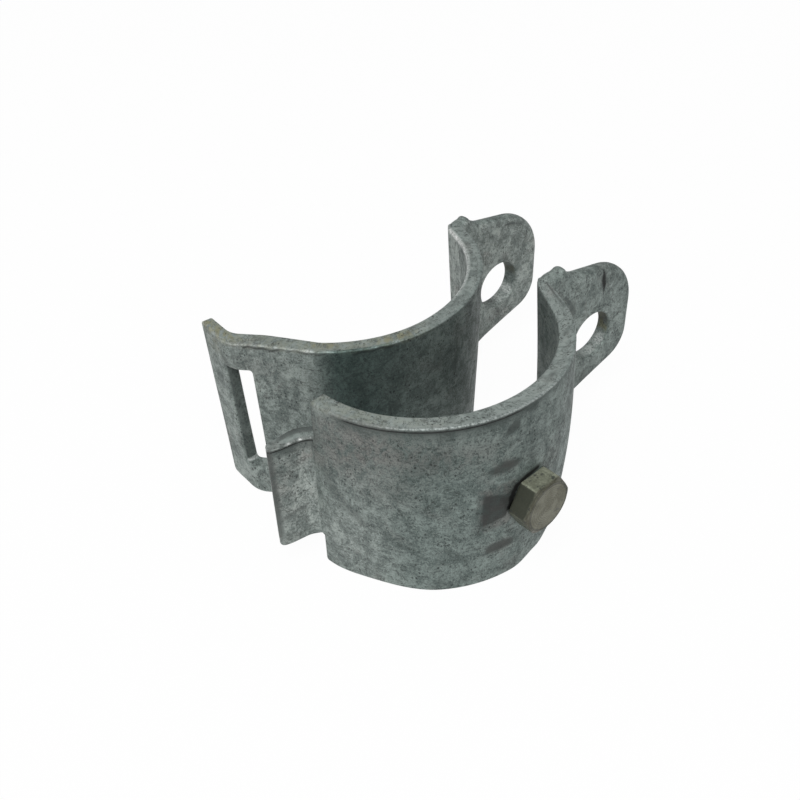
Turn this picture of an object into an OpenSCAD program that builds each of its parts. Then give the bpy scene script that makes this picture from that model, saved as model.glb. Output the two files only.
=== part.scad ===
// Two-part clamping collar for a round fence post, set down open on its lower edges.
// Each half is one bent flat bar: a saddle that holds the post and a lug for the clamp bolt.
// One half ends in a tongue and the other in a slotted plate that the tongue hooks into.
// The origin is on the post axis of the slotted half, in the plane that both halves stand on.

/* [Post] */
// Outside diameter of the post that the collar clamps
post_d = 60.3; // [48:0.1:90]
// Room left round the post before the collar is tightened
post_play = 0.85; // [0:0.05:2]

/* [Flat bar] */
// Width of the bar, which is the height of the collar
bar_w = 50; // [40:1:80]
// Thickness of the bar with its coating
bar_t = 4; // [3:0.1:5]

/* [Lugs] */
// Half of the gap that is left between the two lugs round a post
half_gap = 2; // [1:0.1:3]
// Diameter of the clamp bolt's hole
bolt_hole_d = 14; // [9:0.5:18]
// Height of the hole above the bar's lower edge
bolt_hole_z = 24.5; // [22:0.5:28]
// Radius of the large round at the lug's upper corner
lug_upper_r = 14.5; // [12:0.5:16]
// Radius of the small round at the lug's lower corner
lug_lower_r = 8; // [6:0.5:9]
// Radius of the hollows where the lug narrows from the bar
lug_neck_r = 8; // [5:0.5:10]

/* [Tongue half] */
// Place of the tongue half's post axis, to the right of the slotted half's
front_x = -2; // [-10:1:10]
// Place of the tongue half's post axis, in front of the slotted half's
front_y = -34; // [-60:1:-34]
// Bearing of the saddle's end beside the lug
front_saddle_end = 326; // [320:1:340]
// Bearing of the saddle's end beside the tongue
front_saddle_start = 185.5; // [182:0.5:200]
// Radius inside the bend to the lug
front_bend_r = 2; // [1:0.5:4]
// Distance from the seat to the bolt hole's axis
front_reach = 22.7; // [20:0.1:30]
// Height of the tongue
tongue_w = 30; // [20:1:34]
// Height of the tongue's lower side above the bar's lower edge
tongue_z = 9.3; // [8:0.1:12]

/* [Slotted half] */
// Bearing of the saddle's end beside the lug
rear_saddle_end = 334; // [326:1:340]
// Bearing at which the saddle runs out into the plate
rear_saddle_start = 220; // [210:1:226]
// Radius inside the bend to the lug
rear_bend_r = 4.5; // [2:0.1:6]
// Distance from the seat to the bolt hole's axis
rear_reach = 19.7; // [19:0.1:30]
// Length of the flat plate between the saddle and the lip's bend
plate_l = 16.5; // [14:0.5:24]
// Angle through which the lip is bent on
lip_turn = 43; // [20:1:60]
// Radius outside the lip's bend
lip_bend_r = 9; // [6:0.5:12]
// Length of the lip's flat end
lip_l = 7; // [3:0.5:12]
// Height of the slot
slot_h = 33; // [22:1:36]
// Height of the slot's lower side above the bar's lower edge
slot_z = 9; // [7:0.1:12]
// Distance from the saddle's end to the slot, along the outer face
slot_near = 13.6; // [10:0.1:15]
// Distance from the saddle's end to the slot's far edge, along the outer face
slot_far = 20.8; // [18:0.1:22]
// Radius of the slot's corners
slot_corner_r = 1.5; // [0.5:0.1:3]

/* [Set screw] */
// Thread diameter
screw_d = 8; // [6:1:10]
// Length under the head
screw_l = 12; // [8:1:20]
// Width across the flats of the head
head_af = 13; // [10:1:17]
// Thickness of the head
head_h = 5.3; // [4:0.1:7]
// Play between the thread and its hole, on the diameter
thread_play = 0.1; // [0.05:0.05:0.3]
// Bearing of the screw round the tongue half's post axis
screw_bearing = 273.5; // [240:1:300]
// Height of the screw above the bar's lower edge
screw_z = 21; // [15:0.5:35]

/* [Hidden] */
$fn = 96;
// Length by which a cut runs past the face that it opens
over = 1;
// Length by which neighbouring strokes overlap
lap = 0.05;
// Step left where a flat meets a round, so that their faces cross and never graze
seam = 0.01;
seat_r = post_d / 2 + post_play;
back_r = seat_r + bar_t;
mid_r = seat_r + bar_t / 2;
flat_t = bar_t + 2 * seam;
// Middle of a lug's thickness, measured from the collar's parting plane
lug_y = -(half_gap + bar_t / 2);

// The tongue leaves the saddle by a sharp bend, eases straight and turns back a little at its end
tongue_strokes = [[0.3], [2.6, 55], [1.3], [7, 22], [3.5], [6, -20], [0.6]];

// Outline of a lug, as offsets from its bolt hole along the lug and heights above the lower edge
upper_c = [0, 30.5];
lower_c = [5.9, 21.4];
top_fall = 11.3;
foot_rise = 18.3;
top_neck = -6.5;
foot_neck = -9.5;

// Threads run to a chamfered end, and the head's corners are turned off at thirty degrees
screw_end_chamfer = 1;
head_chamfer_angle = 30;

function unit(a) = [cos(a), sin(a)];

// A stroke is [length] for a flat or [middle radius, turn] for a bend; a positive turn goes left.
// A pose is [x, y, heading] in the middle of the bar's thickness.
function stroke_end(p, s) =
    len(s) == 1 ? [p.x + s[0] * cos(p[2]), p.y + s[0] * sin(p[2]), p[2]]
    : let (side = sign(s[1]), c = [p.x, p.y] + s[0] * side * unit(p[2] + 90))
      let (q = c - s[0] * side * unit(p[2] + s[1] + 90))
      [q.x, q.y, p[2] + s[1]];
function pose_after(p, strokes, n) =
    n == 0 ? p : stroke_end(pose_after(p, strokes, n - 1), strokes[n - 1]);
function saddle_pose(bearing, way) =
    concat(mid_r * unit(bearing), [bearing + 90 * way]);
// Flat and bend that bring the bar from the saddle's end into the lug's plane
function lug_bend(start, bend_r) =
    let (r = bend_r + bar_t / 2, turn = start[2] - 360)
    [[(lug_y - start.y - r * (1 - cos(turn))) / sin(turn)], [r, -turn]];

// Ring sector between two bearings round the origin, with a hair more at each end to knit the strokes
module ring_sector(r_in, r_out, a0, a1) {
    spare = lap / (r_in + r_out) * 360 / PI;
    from = a0 - spare;
    sweep = a1 - a0 + 2 * spare;
    steps = ceil(sweep / 60);
    intersection() {
        difference() {
            circle(r = r_out);
            circle(r = r_in);
        }
        polygon(concat([[0, 0]], [for (i = [0 : steps]) 2 * r_out * unit(from + sweep * i / steps)]));
    }
}

// Section of one stroke, drawn from the origin along +X
module stroke(s) {
    if (len(s) == 1)
        translate([-lap, -flat_t / 2]) square([s[0] + 2 * lap, flat_t]);
    else if (s[1] > 0)
        translate([0, s[0]]) ring_sector(s[0] - bar_t / 2, s[0] + bar_t / 2, -90, s[1] - 90);
    else
        translate([0, -s[0]]) ring_sector(s[0] - bar_t / 2, s[0] + bar_t / 2, 90 + s[1], 90);
}

// Section of a bar that follows a list of strokes from a pose
module bar(start, strokes) {
    for (i = [0 : len(strokes) - 1]) {
        p = pose_after(start, strokes, i);
        translate([p.x, p.y]) rotate(p[2]) stroke(strokes[i]);
    }
}

// Outline of a lug from its root to its round end, with the hole's axis at offset 0
module lug_outline(root) {
    fall = [sin(top_fall), cos(top_fall)];
    rise = [sin(foot_rise), -cos(foot_rise)];
    between = lower_c - upper_c;
    side = atan2(between.y, between.x) + acos((lug_upper_r - lug_lower_r) / norm(between));
    upper_in = lug_upper_r - seam;
    lower_in = lug_lower_r - seam;
    top_touch = upper_c + upper_in * fall;
    foot_touch = lower_c + lower_in * rise;
    top_end = [top_neck, top_touch.y + (top_touch.x - top_neck) * tan(top_fall)];
    foot_end = [foot_neck, foot_touch.y - (foot_touch.x - foot_neck) * tan(foot_rise)];
    difference() {
        union() {
            translate(upper_c) circle(r = lug_upper_r);
            translate(lower_c) circle(r = lug_lower_r);
            polygon([[root, 0], [foot_neck, 0], foot_end, foot_touch,
                     lower_c + lower_in * unit(side), upper_c + upper_in * unit(side),
                     top_touch, top_end, [top_neck, bar_w], [root, bar_w]]);
        }
        translate(top_end + (lug_neck_r - seam) * fall) circle(r = lug_neck_r);
        translate(foot_end + (lug_neck_r - seam) * rise) circle(r = lug_neck_r);
    }
}

// Lug beyond a bend that ends at x = root; its plane is parallel to the parting plane
module lug(root, reach) {
    difference() {
        translate([reach, lug_y + flat_t / 2, 0]) rotate([90, 0, 0])
            linear_extrude(flat_t) lug_outline(root - reach - lap);
        translate([reach, lug_y, bolt_hole_z]) rotate([90, 0, 0])
            cylinder(d = bolt_hole_d, h = bar_t + 2 * over, center = true);
    }
}

module tongue_half() {
    tongue_start = saddle_pose(front_saddle_start, -1);
    lug_start = saddle_pose(front_saddle_end, 1);
    lug_strokes = lug_bend(lug_start, front_bend_r);
    color([0.50, 0.53, 0.52]) translate([front_x, front_y, 0]) {
        difference() {
            linear_extrude(bar_w) {
                ring_sector(seat_r, back_r, front_saddle_start, front_saddle_end);
                bar(lug_start, lug_strokes);
            }
            rotate([0, 0, screw_bearing]) translate([seat_r - over, 0, screw_z]) rotate([0, 90, 0])
                cylinder(d = screw_d + thread_play, h = bar_t + 2 * over);
        }
        translate([0, 0, tongue_z]) linear_extrude(tongue_w)
            bar(tongue_start, tongue_strokes);
        lug(pose_after(lug_start, lug_strokes, 2).x, seat_r + front_reach);
    }
}

// What is left of a square corner of the slot outside its round; sx and sz point into the slot
module corner_fill(sx, sz) {
    difference() {
        translate([sx * (slot_corner_r - lap) / 2, 0, sz * (slot_corner_r - lap) / 2])
            cube([slot_corner_r + lap, 3 * bar_t, slot_corner_r + lap], center = true);
        translate([sx * slot_corner_r, 0, sz * slot_corner_r]) rotate([90, 0, 0])
            cylinder(r = slot_corner_r + seam, h = 4 * bar_t, center = true);
    }
}

// Cut for the slot: each side is square to the outer face, flat on the plate and turned in the bend
module slot(start) {
    bend = pose_after(start, [[plate_l]], 1);
    ends = [pose_after(start, [[slot_near]], 1),
            stroke_end(bend, [lip_bend_r - bar_t / 2, (plate_l - slot_far) / lip_bend_r * 180 / PI])];
    deep = bar_t / 2 + over;
    faces = [for (e = ends) [[e.x, e.y] + deep * unit(e[2] + 90), [e.x, e.y] - deep * unit(e[2] + 90)]];
    difference() {
        translate([0, 0, slot_z]) linear_extrude(slot_h)
            polygon([faces[0][0], faces[1][0], faces[1][1], faces[0][1]]);
        for (i = [0, 1], up = [-1, 1])
            translate([ends[i].x, ends[i].y, slot_z + (up + 1) / 2 * slot_h]) rotate([0, 0, ends[i][2]])
                corner_fill(1 - 2 * i, -up);
    }
}

module slotted_half() {
    plate_start = saddle_pose(rear_saddle_start, -1);
    lug_start = saddle_pose(rear_saddle_end, 1);
    lug_strokes = lug_bend(lug_start, rear_bend_r);
    color([0.47, 0.51, 0.50]) {
        difference() {
            linear_extrude(bar_w) {
                ring_sector(seat_r, back_r, rear_saddle_start, rear_saddle_end);
                bar(lug_start, lug_strokes);
                bar(plate_start, [[plate_l], [lip_bend_r - bar_t / 2, -lip_turn], [lip_l]]);
            }
            slot(plate_start);
        }
        lug(pose_after(lug_start, lug_strokes, 2).x, seat_r + rear_reach);
    }
}

module set_screw() {
    corner_r = head_af / sqrt(3);
    crown = (corner_r - head_af / 2) * tan(head_chamfer_angle);
    color([0.43, 0.43, 0.38])
    translate([front_x, front_y, screw_z]) rotate([0, 0, screw_bearing]) translate([back_r, 0, 0]) rotate([0, 90, 0]) {
        intersection() {
            rotate([0, 0, 30]) cylinder(r = corner_r, h = head_h, $fn = 6);
            rotate_extrude() polygon([[0, 0], [corner_r, 0], [corner_r, head_h - crown],
                                      [head_af / 2, head_h], [0, head_h]]);
        }
        rotate_extrude() polygon([[0, 0], [0, -screw_l], [screw_d / 2 - screw_end_chamfer, -screw_l],
                                  [screw_d / 2, screw_end_chamfer - screw_l], [screw_d / 2, 0]]);
    }
}

tongue_half();
slotted_half();
set_screw();
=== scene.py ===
"""Dressed model of the fence post collar: two bent bars of dull galvanised steel and a set screw.

Each bar is drawn first as a flat pattern, a sheet of quads over (s, z): s runs along the bar and z up it.
The pattern gets a near and a far face and a wall between them, and is then bent along its plan curves.
Lengths are in millimetres until they are written into a mesh.
"""

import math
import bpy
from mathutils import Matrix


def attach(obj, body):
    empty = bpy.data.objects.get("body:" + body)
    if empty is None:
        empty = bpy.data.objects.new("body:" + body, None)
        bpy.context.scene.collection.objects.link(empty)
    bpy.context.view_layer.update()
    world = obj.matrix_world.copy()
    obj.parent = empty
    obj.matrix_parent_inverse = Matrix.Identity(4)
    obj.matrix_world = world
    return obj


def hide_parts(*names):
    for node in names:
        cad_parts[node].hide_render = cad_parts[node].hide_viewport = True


bl_info = {
    "name": "Fence Post Collar",
    "version": (1, 0, 0),
    "blender": (4, 5, 0),
    "location": "3D View > Sidebar > Collar",
    "description": "Galvanised clamping collar for a round fence post, with its set screw and a plain stage",
    "category": "Add Mesh",
}

import bpy
import numpy as np
from bpy.props import FloatProperty, FloatVectorProperty, PointerProperty
from mathutils import Matrix, Vector

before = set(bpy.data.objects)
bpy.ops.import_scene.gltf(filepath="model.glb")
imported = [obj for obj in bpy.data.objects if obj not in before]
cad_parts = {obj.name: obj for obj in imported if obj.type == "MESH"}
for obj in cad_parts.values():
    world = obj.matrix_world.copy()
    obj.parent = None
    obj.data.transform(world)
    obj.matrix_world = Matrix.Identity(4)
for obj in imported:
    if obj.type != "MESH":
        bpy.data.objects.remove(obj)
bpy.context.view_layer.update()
MM = 0.001
BAR_W = 50.0
BAR_T = 4.0

# Distances from an edge at which the pattern has rows, so that its rounding is smooth
EDGE_ROWS = np.array([0, 0.07, 0.16, 0.28, 0.45, 0.68, 1.0, 1.4, 1.9, 2.5])
# Points that a plan curve has on each of its strokes, and steps of a wall between a bar's two faces
STROKE_POINTS = 400
WALL_STEPS = 6
# Columns of a pattern round a hole are this far apart
RING_STEP = 0.6

# Outline of a lug about its bolt hole: centre and radius of the upper and the lower round, slopes of the
# straight edges in degrees, and where these meet the necks
UPPER = (np.array([0.2, 30.5]), 14.9)
LOWER = (np.array([6.1, 21.2]), 8.9)
TOP_FALL = 11.3
FOOT_RISE = 18.3
TOP_NECK = -6.5
FOOT_NECK = -9.5
NECK_R = 8.0
OUTLINE_STEP = 0.45
HOLE_R = 7.0
HOLE_Z = 24.5

# Where a lug's flat starts along x, and the stations of each bar: end of the saddle, start of the lug's flat,
# and bolt hole
ROOT_X = 39.5
FRONT_SADDLE = 82.0
FRONT_LUG = FRONT_SADDLE + 17.0
FRONT_HOLE = FRONT_LUG + 53.7 - ROOT_X
REAR_SADDLE = 71.0
REAR_LUG = REAR_SADDLE + 12.0
REAR_HOLE = REAR_LUG + 50.7 - ROOT_X

# Lower and upper edge of the tongue
TONGUE_LOW = 8.7
TONGUE_HIGH = 39.3

# Screw: across flats, height of head, radius, pitch and length of thread; its bearing on the front saddle,
# the saddle's centre and outer radius, and the screw's height
SCREW_AF = 13.3
HEAD_H = 5.3
SHANK_R = 4.0
PITCH = 1.25
SHANK_L = 12.0
SCREW_BEARING = 272.8
FRONT_CENTRE = (-2, -34)
FRONT_OUTER_R = 35.0
SCREW_Z = 21.2


# Flat pattern


def unit(angle):
    """Unit vector at an angle in degrees."""
    a = np.radians(angle)
    return np.array([np.cos(a), np.sin(a)])


def smooth(x, a, b):
    """0 on a's side, 1 on b's side, and a smooth cubic between them."""
    t = np.clip((x - a) / (b - a), 0, 1)
    return t * t * (3 - 2 * t)


def bell(x, centre, width, power=2):
    """1 at the centre, falling to both sides as the exponential of the distance to a power."""
    return np.exp(-(np.abs((x - centre) / width) ** power))


def graded(a, b, step, low=True, high=True):
    """Stations from a to b about a step apart, with the edge rows at the ends that are edges."""
    left = a + EDGE_ROWS if low else np.array([a])
    right = b - EDGE_ROWS[::-1] if high else np.array([b])
    count = max(2, math.ceil((right[0] - left[-1]) / step) + 1)
    return np.concatenate([left[:-1], np.linspace(left[-1], right[0], count), right[1:]])


def sheet(columns, low, high, rows):
    """Block of the pattern: each column runs from low to high, with rows at parts of that height."""
    z = low[:, None] + (high - low)[:, None] * rows[None, :]
    return np.stack([np.broadcast_to(columns[:, None], z.shape), z], -1)


def ring(outer, inner, parts):
    """Block between two closed loops: straight lines from outer to inner points, cut at the parts."""
    block = outer[:, None] + (inner - outer)[:, None] * parts[None, :, None]
    return np.concatenate([block, block[:1]])


def weld(blocks):
    """Joins blocks into one set of points and anticlockwise quads; points that coincide become one."""
    points, quads, start = [], [], 0
    for block in blocks:
        n, m = block.shape[:2]
        index = start + np.arange(n * m).reshape(n, m)
        corners = [index[:-1, :-1], index[1:, :-1], index[1:, 1:], index[:-1, 1:]]
        quads.append(np.stack(corners, -1).reshape(-1, 4))
        points.append(block.reshape(-1, 2))
        start += n * m
    points, quads = np.concatenate(points), np.concatenate(quads)
    _, first, which = np.unique(np.round(points, 3), axis=0, return_index=True, return_inverse=True)
    points, quads = points[first], which.reshape(-1)[quads]
    p, q = points[quads], np.roll(points[quads], -1, axis=1)
    area = (p[..., 0] * q[..., 1] - p[..., 1] * q[..., 0]).sum(1)
    quads[area < 0] = quads[area < 0][:, ::-1]
    return points, quads


def rim_edges(quads):
    """Directed edges that only one quad has."""
    edges = np.stack([quads, np.roll(quads, -1, axis=1)], -1).reshape(-1, 2)
    size = int(quads.max()) + 1
    lone = ~np.isin(edges[:, 0] * size + edges[:, 1], edges[:, 1] * size + edges[:, 0])
    return edges[lone]


def rim_distance(points, edges):
    """Distance of each point from the nearest rim edge, and the middle of that edge. The points are taken in
    parts, so that no table of distances has over four million entries."""
    a, b = points[edges[:, 0]], points[edges[:, 1]]
    run = b - a
    length = (run**2).sum(1)
    far, near = np.empty(len(points)), np.empty(len(points), int)
    for part in np.array_split(np.arange(len(points)), 1 + len(points) * len(edges) // 4_000_000):
        gap = points[part, None] - a[None]
        t = np.clip((gap * run).sum(-1) / length, 0, 1)
        d = ((gap - t[..., None] * run) ** 2).sum(-1)
        near[part] = d.argmin(1)
        far[part] = np.sqrt(d.min(1))
    return far, (a + b)[near] / 2


def arc(centre, radius, a0, a1, count):
    """Points on a circle from bearing a0 to a1."""
    return centre + radius * unit(np.linspace(a0, a1, count)).T


def run_length(line):
    """Length along a line of points, from its start to each of them."""
    return np.concatenate([[0], np.cumsum(np.hypot(*np.diff(line, axis=0).T))])


def even_points(line, count):
    """Evenly spaced points on a line of points."""
    length = run_length(line)
    even = np.linspace(0, length[-1], count)
    return np.stack([np.interp(even, length, line[:, i]) for i in (0, 1)], -1)


# Plan curves


def stroke_points(pose, stroke):
    """Points along one stroke and the pose at its end. A flat is (length,); an arc (radius, turn) goes left
    for a positive turn: centre a radius to that side, and points at the radius from it."""
    x, y, heading = pose
    f = np.linspace(0, 1, STROKE_POINTS + 1)
    if len(stroke) == 1:
        points = np.array([x, y]) + np.outer(f * stroke[0], unit(heading))
        return points, (*points[-1], heading)
    radius, turn = stroke
    side = math.copysign(radius, turn)
    centre = np.array([x, y]) + side * unit(heading + 90)
    points = centre - side * unit(heading + 90 + f * turn).T
    return points, (*points[-1], heading + turn)


def stroke_length(stroke):
    """Length of a flat, or of an arc as its radius times its turn."""
    return stroke[0] if len(stroke) == 1 else stroke[0] * math.radians(abs(stroke[1]))


def plan_curve(pose, strokes):
    """Flats and arcs laid end to end from a pose; a fixed number of points on each."""
    points = [np.array([[pose[0], pose[1]]])]
    for stroke in strokes:
        piece, pose = stroke_points(pose, stroke)
        points.append(piece[1:])
    return np.concatenate(points)


def parallel_curve(pose, strokes, offset):
    """Plan curve an offset to the left of flats and arcs: flats keep their length, and arcs their centre."""
    start = (*(np.array(pose[:2]) + offset * unit(pose[2] + 90)), pose[2])
    moved = [stroke if len(stroke) == 1 else (stroke[0] - offset * math.copysign(1, stroke[1]), stroke[1])
             for stroke in strokes]
    return plan_curve(start, moved)


def on_curve(curve, knots, s):
    """Place on a plan curve of the stations s; knots are the stations at which its strokes join."""
    u = np.interp(s, knots, np.arange(len(knots)) * STROKE_POINTS)
    index = np.arange(len(curve))
    return np.stack([np.interp(u, index, curve[:, i]) for i in (0, 1)], -1)


def bend_on(start, target_y, heading, radius):
    """Flat and right-hand arc that bring a curve from a point to a heading of 0 at a given y."""
    rise = radius * (1 - math.cos(math.radians(heading)))
    return [((target_y - start[1] - rise) / math.sin(math.radians(heading)),), (radius, -heading)]


def saddle_curve(centre, radius, start, end, lug_y, bend_r):
    """Plan curve of one face: an arc about the centre from a bearing to another, and the bend towards the
    lug's face at the height lug_y."""
    pose = (*(centre + radius * unit(start)), start + 90)
    bend = bend_on(centre + radius * unit(end), lug_y, end - 270, bend_r)
    return plan_curve(pose, [(radius, end - start), *bend])


def with_lug(back, curve, lug_y, end_x):
    """One face's whole curve: the part before the saddle, which is given outwards from it, the saddle with
    its bend, and straight lines to the lug's root and its end."""
    f = np.linspace(0, 1, STROKE_POINTS + 1)[1:, None]
    root = np.array([ROOT_X, lug_y])
    to_root = curve[-1] + (root - curve[-1]) * f
    to_end = root + np.array([end_x - ROOT_X, 0]) * f
    return np.concatenate([back[::-1][:-1], curve, to_root, to_end])


def eased(s, table):
    """Columns of a table of stations at the stations s, with a smooth cubic from each row to the next."""
    row = np.clip(np.searchsorted(table[:, 0], s) - 1, 0, len(table) - 2)
    t = smooth(s, table[row, 0], table[row + 1, 0])[..., None]
    return np.moveaxis(table[row, 1:] * (1 - t) + table[row + 1, 1:] * t, -1, 0)


# One bar


class Bar:
    """A bar that is bent along the plan curves of its near and its far face, and leans out of the upright."""

    def __init__(self, knots, near, far, centre, lean):
        self.knots, self.near, self.far = knots, near, far
        self.centre, self.lean = np.array(centre, float), np.array(lean)

    def place(self, s, z, w):
        """Point at s along, z up and the part w of the way from the near to the far face. The lean moves the
        plan sideways in proportion to the depth below the upper edge, and again to its fourth power."""
        n, f = on_curve(self.near, self.knots, s), on_curve(self.far, self.knots, s)
        xy = n + (f - n) * w[..., None] + self.centre
        lean = eased(s, self.lean)
        depth = np.clip(1 - z / BAR_W, 0, 1)
        xy = xy + (lean[:2] * depth + lean[2:] * depth**4).T.reshape(xy.shape)
        return np.concatenate([xy, z[..., None]], -1)


def drop(d, radius):
    """Fall of a face at the distance d from its edge, where the edge is rounded with the radius."""
    inside = np.clip(radius - d, 0, radius)
    return radius - np.sqrt(np.maximum(radius**2 - inside**2, 0))


def arris_radius(s, z, crease, hole_s, radii):
    """Radius of the rim's round: the second past the crease, but not at the bolt hole, and else the first."""
    wide = smooth(s, crease, crease + 1.0) * (np.hypot(s - hole_s, z - HOLE_Z) > HOLE_R + 0.5)
    return radii[0] + (radii[1] - radii[0]) * wide


def skin(bar, blocks, crease, hole_s, radii, waves, slant, burr):
    """Closed mesh of a bar. The near and the far face are the pattern, let down towards its rim by the round
    of the arris; a wall of a few levels joins the two rims. The rim has a nick at the crease, the slant moves
    points along the bar and up it in proportion to w, and the burr raises the near face. Returns points,
    quads and (s, z, w) of the points."""
    flat, quads = weld(blocks)
    edges = rim_edges(quads)
    d, middle = rim_distance(flat, edges)
    fall = drop(d, arris_radius(*middle.T, crease, hole_s, radii))
    s, z = flat.T
    ripple = waves(s, z)
    w_near = (fall + ripple - burr(s, z)) / BAR_T
    w_far = 1 - (fall - ripple) / BAR_T
    rim = np.unique(edges)
    slot_of = np.full(len(flat), -1)
    slot_of[rim] = np.arange(len(rim))
    part = np.arange(1, WALL_STEPS) / WALL_STEPS
    w_wall = w_near[rim, None] + (w_far - w_near)[rim, None] * part
    n = len(flat)
    wall = np.stack(np.broadcast_arrays(s[rim, None], z[rim, None], w_wall), -1)
    coords = np.concatenate([np.stack([s, z, w_near], -1), np.stack([s, z, w_far], -1), wall.reshape(-1, 3)])
    coords[:, 1] -= 0.4 * bell(coords[:, 0], crease, 0.35) * smooth(coords[:, 1], BAR_W - 2.5, BAR_W - 0.3)
    coords[:, :2] += np.stack(slant(coords[:, 0], coords[:, 1]), -1) * coords[:, 2:]
    between = 2 * n + np.arange(len(rim) * (WALL_STEPS - 1)).reshape(-1, WALL_STEPS - 1)
    column = np.concatenate([rim[:, None], between, rim[:, None] + n], 1)
    a, b = column[slot_of[edges[:, 0]]], column[slot_of[edges[:, 1]]]
    walls = np.stack([b[:, :-1], a[:, :-1], a[:, 1:], b[:, 1:]], -1).reshape(-1, 4)
    faces = np.concatenate([quads, quads[:, ::-1] + n, walls])
    return bar.place(*coords.T), faces, coords


def make_object(name, points, face_sets, coords=None, **layers):
    """Mesh object at the origin from points in millimetres and sets of faces with equal corner counts; layers
    become float attributes on the points."""
    mesh = bpy.data.meshes.new(name)
    mesh.vertices.add(len(points))
    mesh.vertices.foreach_set("co", (points * MM).astype(np.float32).ravel())
    corners = np.concatenate([faces.ravel() for faces in face_sets])
    sizes = np.concatenate([np.full(len(faces), faces.shape[1]) for faces in face_sets])
    mesh.loops.add(len(corners))
    mesh.loops.foreach_set("vertex_index", corners.astype(np.int32))
    mesh.polygons.add(len(sizes))
    mesh.polygons.foreach_set("loop_start", (np.cumsum(sizes) - sizes).astype(np.int32))
    mesh.update(calc_edges=True)
    mesh.validate()
    if coords is not None:
        layer = mesh.attributes.new("flat", "FLOAT_VECTOR", "POINT")
        layer.data.foreach_set("vector", coords.astype(np.float32).ravel())
    for key, values in layers.items():
        layer = mesh.attributes.new(key, "FLOAT", "POINT")
        layer.data.foreach_set("value", values.astype(np.float32))
    mesh.shade_smooth()
    obj = bpy.data.objects.new(name, mesh)
    bpy.context.collection.objects.link(obj)
    return obj


# Lug pattern


def lug_outline(lift):
    """Outline of a lug from its upper neck round the end to its lower neck, about the hole's axis: hollow,
    falling line, large round, side, small round, rising line, hollow. All lines touch the rounds, whose
    centres are raised by the lift and half of it."""
    upper, lower = UPPER[0] + [0, lift], LOWER[0] + [0, lift / 2]
    fall = np.array([math.sin(math.radians(TOP_FALL)), math.cos(math.radians(TOP_FALL))])
    rise = np.array([math.sin(math.radians(FOOT_RISE)), -math.cos(math.radians(FOOT_RISE))])
    gap = lower - upper
    side = math.degrees(math.atan2(gap[1], gap[0]) + math.acos((UPPER[1] - LOWER[1]) / np.hypot(*gap)))
    top_touch = upper + UPPER[1] * fall
    foot_touch = lower + LOWER[1] * rise
    top_rise = (top_touch[0] - TOP_NECK) * math.tan(math.radians(TOP_FALL))
    top_end = np.array([TOP_NECK, top_touch[1] + top_rise])
    foot_drop = (foot_touch[0] - FOOT_NECK) * math.tan(math.radians(FOOT_RISE))
    foot_end = np.array([FOOT_NECK, foot_touch[1] - foot_drop])
    top_c, foot_c = top_end + NECK_R * fall, foot_end + NECK_R * rise
    top_a = 180 + math.degrees(math.asin((top_c[1] - BAR_W) / NECK_R))
    foot_a = 180 - math.degrees(math.asin(-foot_c[1] / NECK_R))
    line = np.concatenate([
        arc(top_c, NECK_R, top_a, 270 - TOP_FALL, 30),
        arc(upper, UPPER[1], 90 - TOP_FALL, side, 60),
        arc(lower, LOWER[1], side, FOOT_RISE - 90, 30),
        arc(foot_c, NECK_R, 90 + FOOT_RISE, foot_a, 30)])
    return even_points(line, int(run_length(line)[-1] / OUTLINE_STEP))


def lug_blocks(columns, rows, hole_s, lift):
    """Lower and upper edge of the bar at its columns, narrowing as the outline says, and the ring of quads
    from the last column round the bolt hole. The ring's left side has the bar's rows. The upper edge has a
    small bump at the bend, where the bar was upset."""
    line = lug_outline(lift)
    top = line[: len(line) // 2]
    foot = line[len(line) // 2:][::-1]
    x = columns - hole_s
    high = np.interp(x, top[:, 0], top[:, 1], left=BAR_W) + 0.55 * bell(x, -12.6, 1.0)
    low = np.interp(x, foot[:, 0], foot[:, 1], left=0)
    left = np.stack([np.full(len(rows), x[-1]), low[-1] + (high[-1] - low[-1]) * rows], -1)
    rest = line[line[:, 0] > x[-1] + 0.25]
    outer = np.concatenate([left, rest]) - [0, HOLE_Z]
    inner = HOLE_R * outer / np.hypot(*outer.T)[:, None]
    span = np.hypot(*(outer - inner).T).mean()
    block = ring(outer, inner, graded(0, span, RING_STEP) / span) + [hole_s, HOLE_Z]
    return low, high, block


# Marks on the pattern

# Stains, the first partly a painted shadow, as (strength, corners (s, z), softness); scratches and a painted
# shadow line as (strength, points (s, z), width); spots as (s, z, radius along, radius up, strength)
FRONT_STAINS_AND_SHADOW = [
    # The first stain, beside the screw head, is a stain and a painted shadow of the head
    (0.85, [(35, 28.4), (38, 27.4), (40, 26.4), (42.4, 28), (45, 26), (43, 22), (40.3, 22.4), (40.3, 19.8),
            (36.8, 19.1), (34.4, 18.9), (34.6, 23.9)], 0.3),
    (0.72, [(35.8, 35.2), (39, 36.9), (43.3, 35.7), (43, 34), (39.7, 33.3), (36.5, 33.8)], 0.45),
    (0.72, [(35, 9.3), (36, 12.1), (39.2, 12.4), (42.3, 11.4), (42.2, 9.3), (39.2, 9.3)], 0.4),
    (0.72, [(39.5, 44), (40, 46), (41.4, 47.4), (42.8, 46.8), (43, 44.8), (41, 43.8)], 0.35),
    (0.95, [(115.8, 44.5), (114.9, 42), (115.1, 40), (116.2, 36.8), (117.0, 39.5), (116.7, 42)], 0.2),
]
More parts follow.
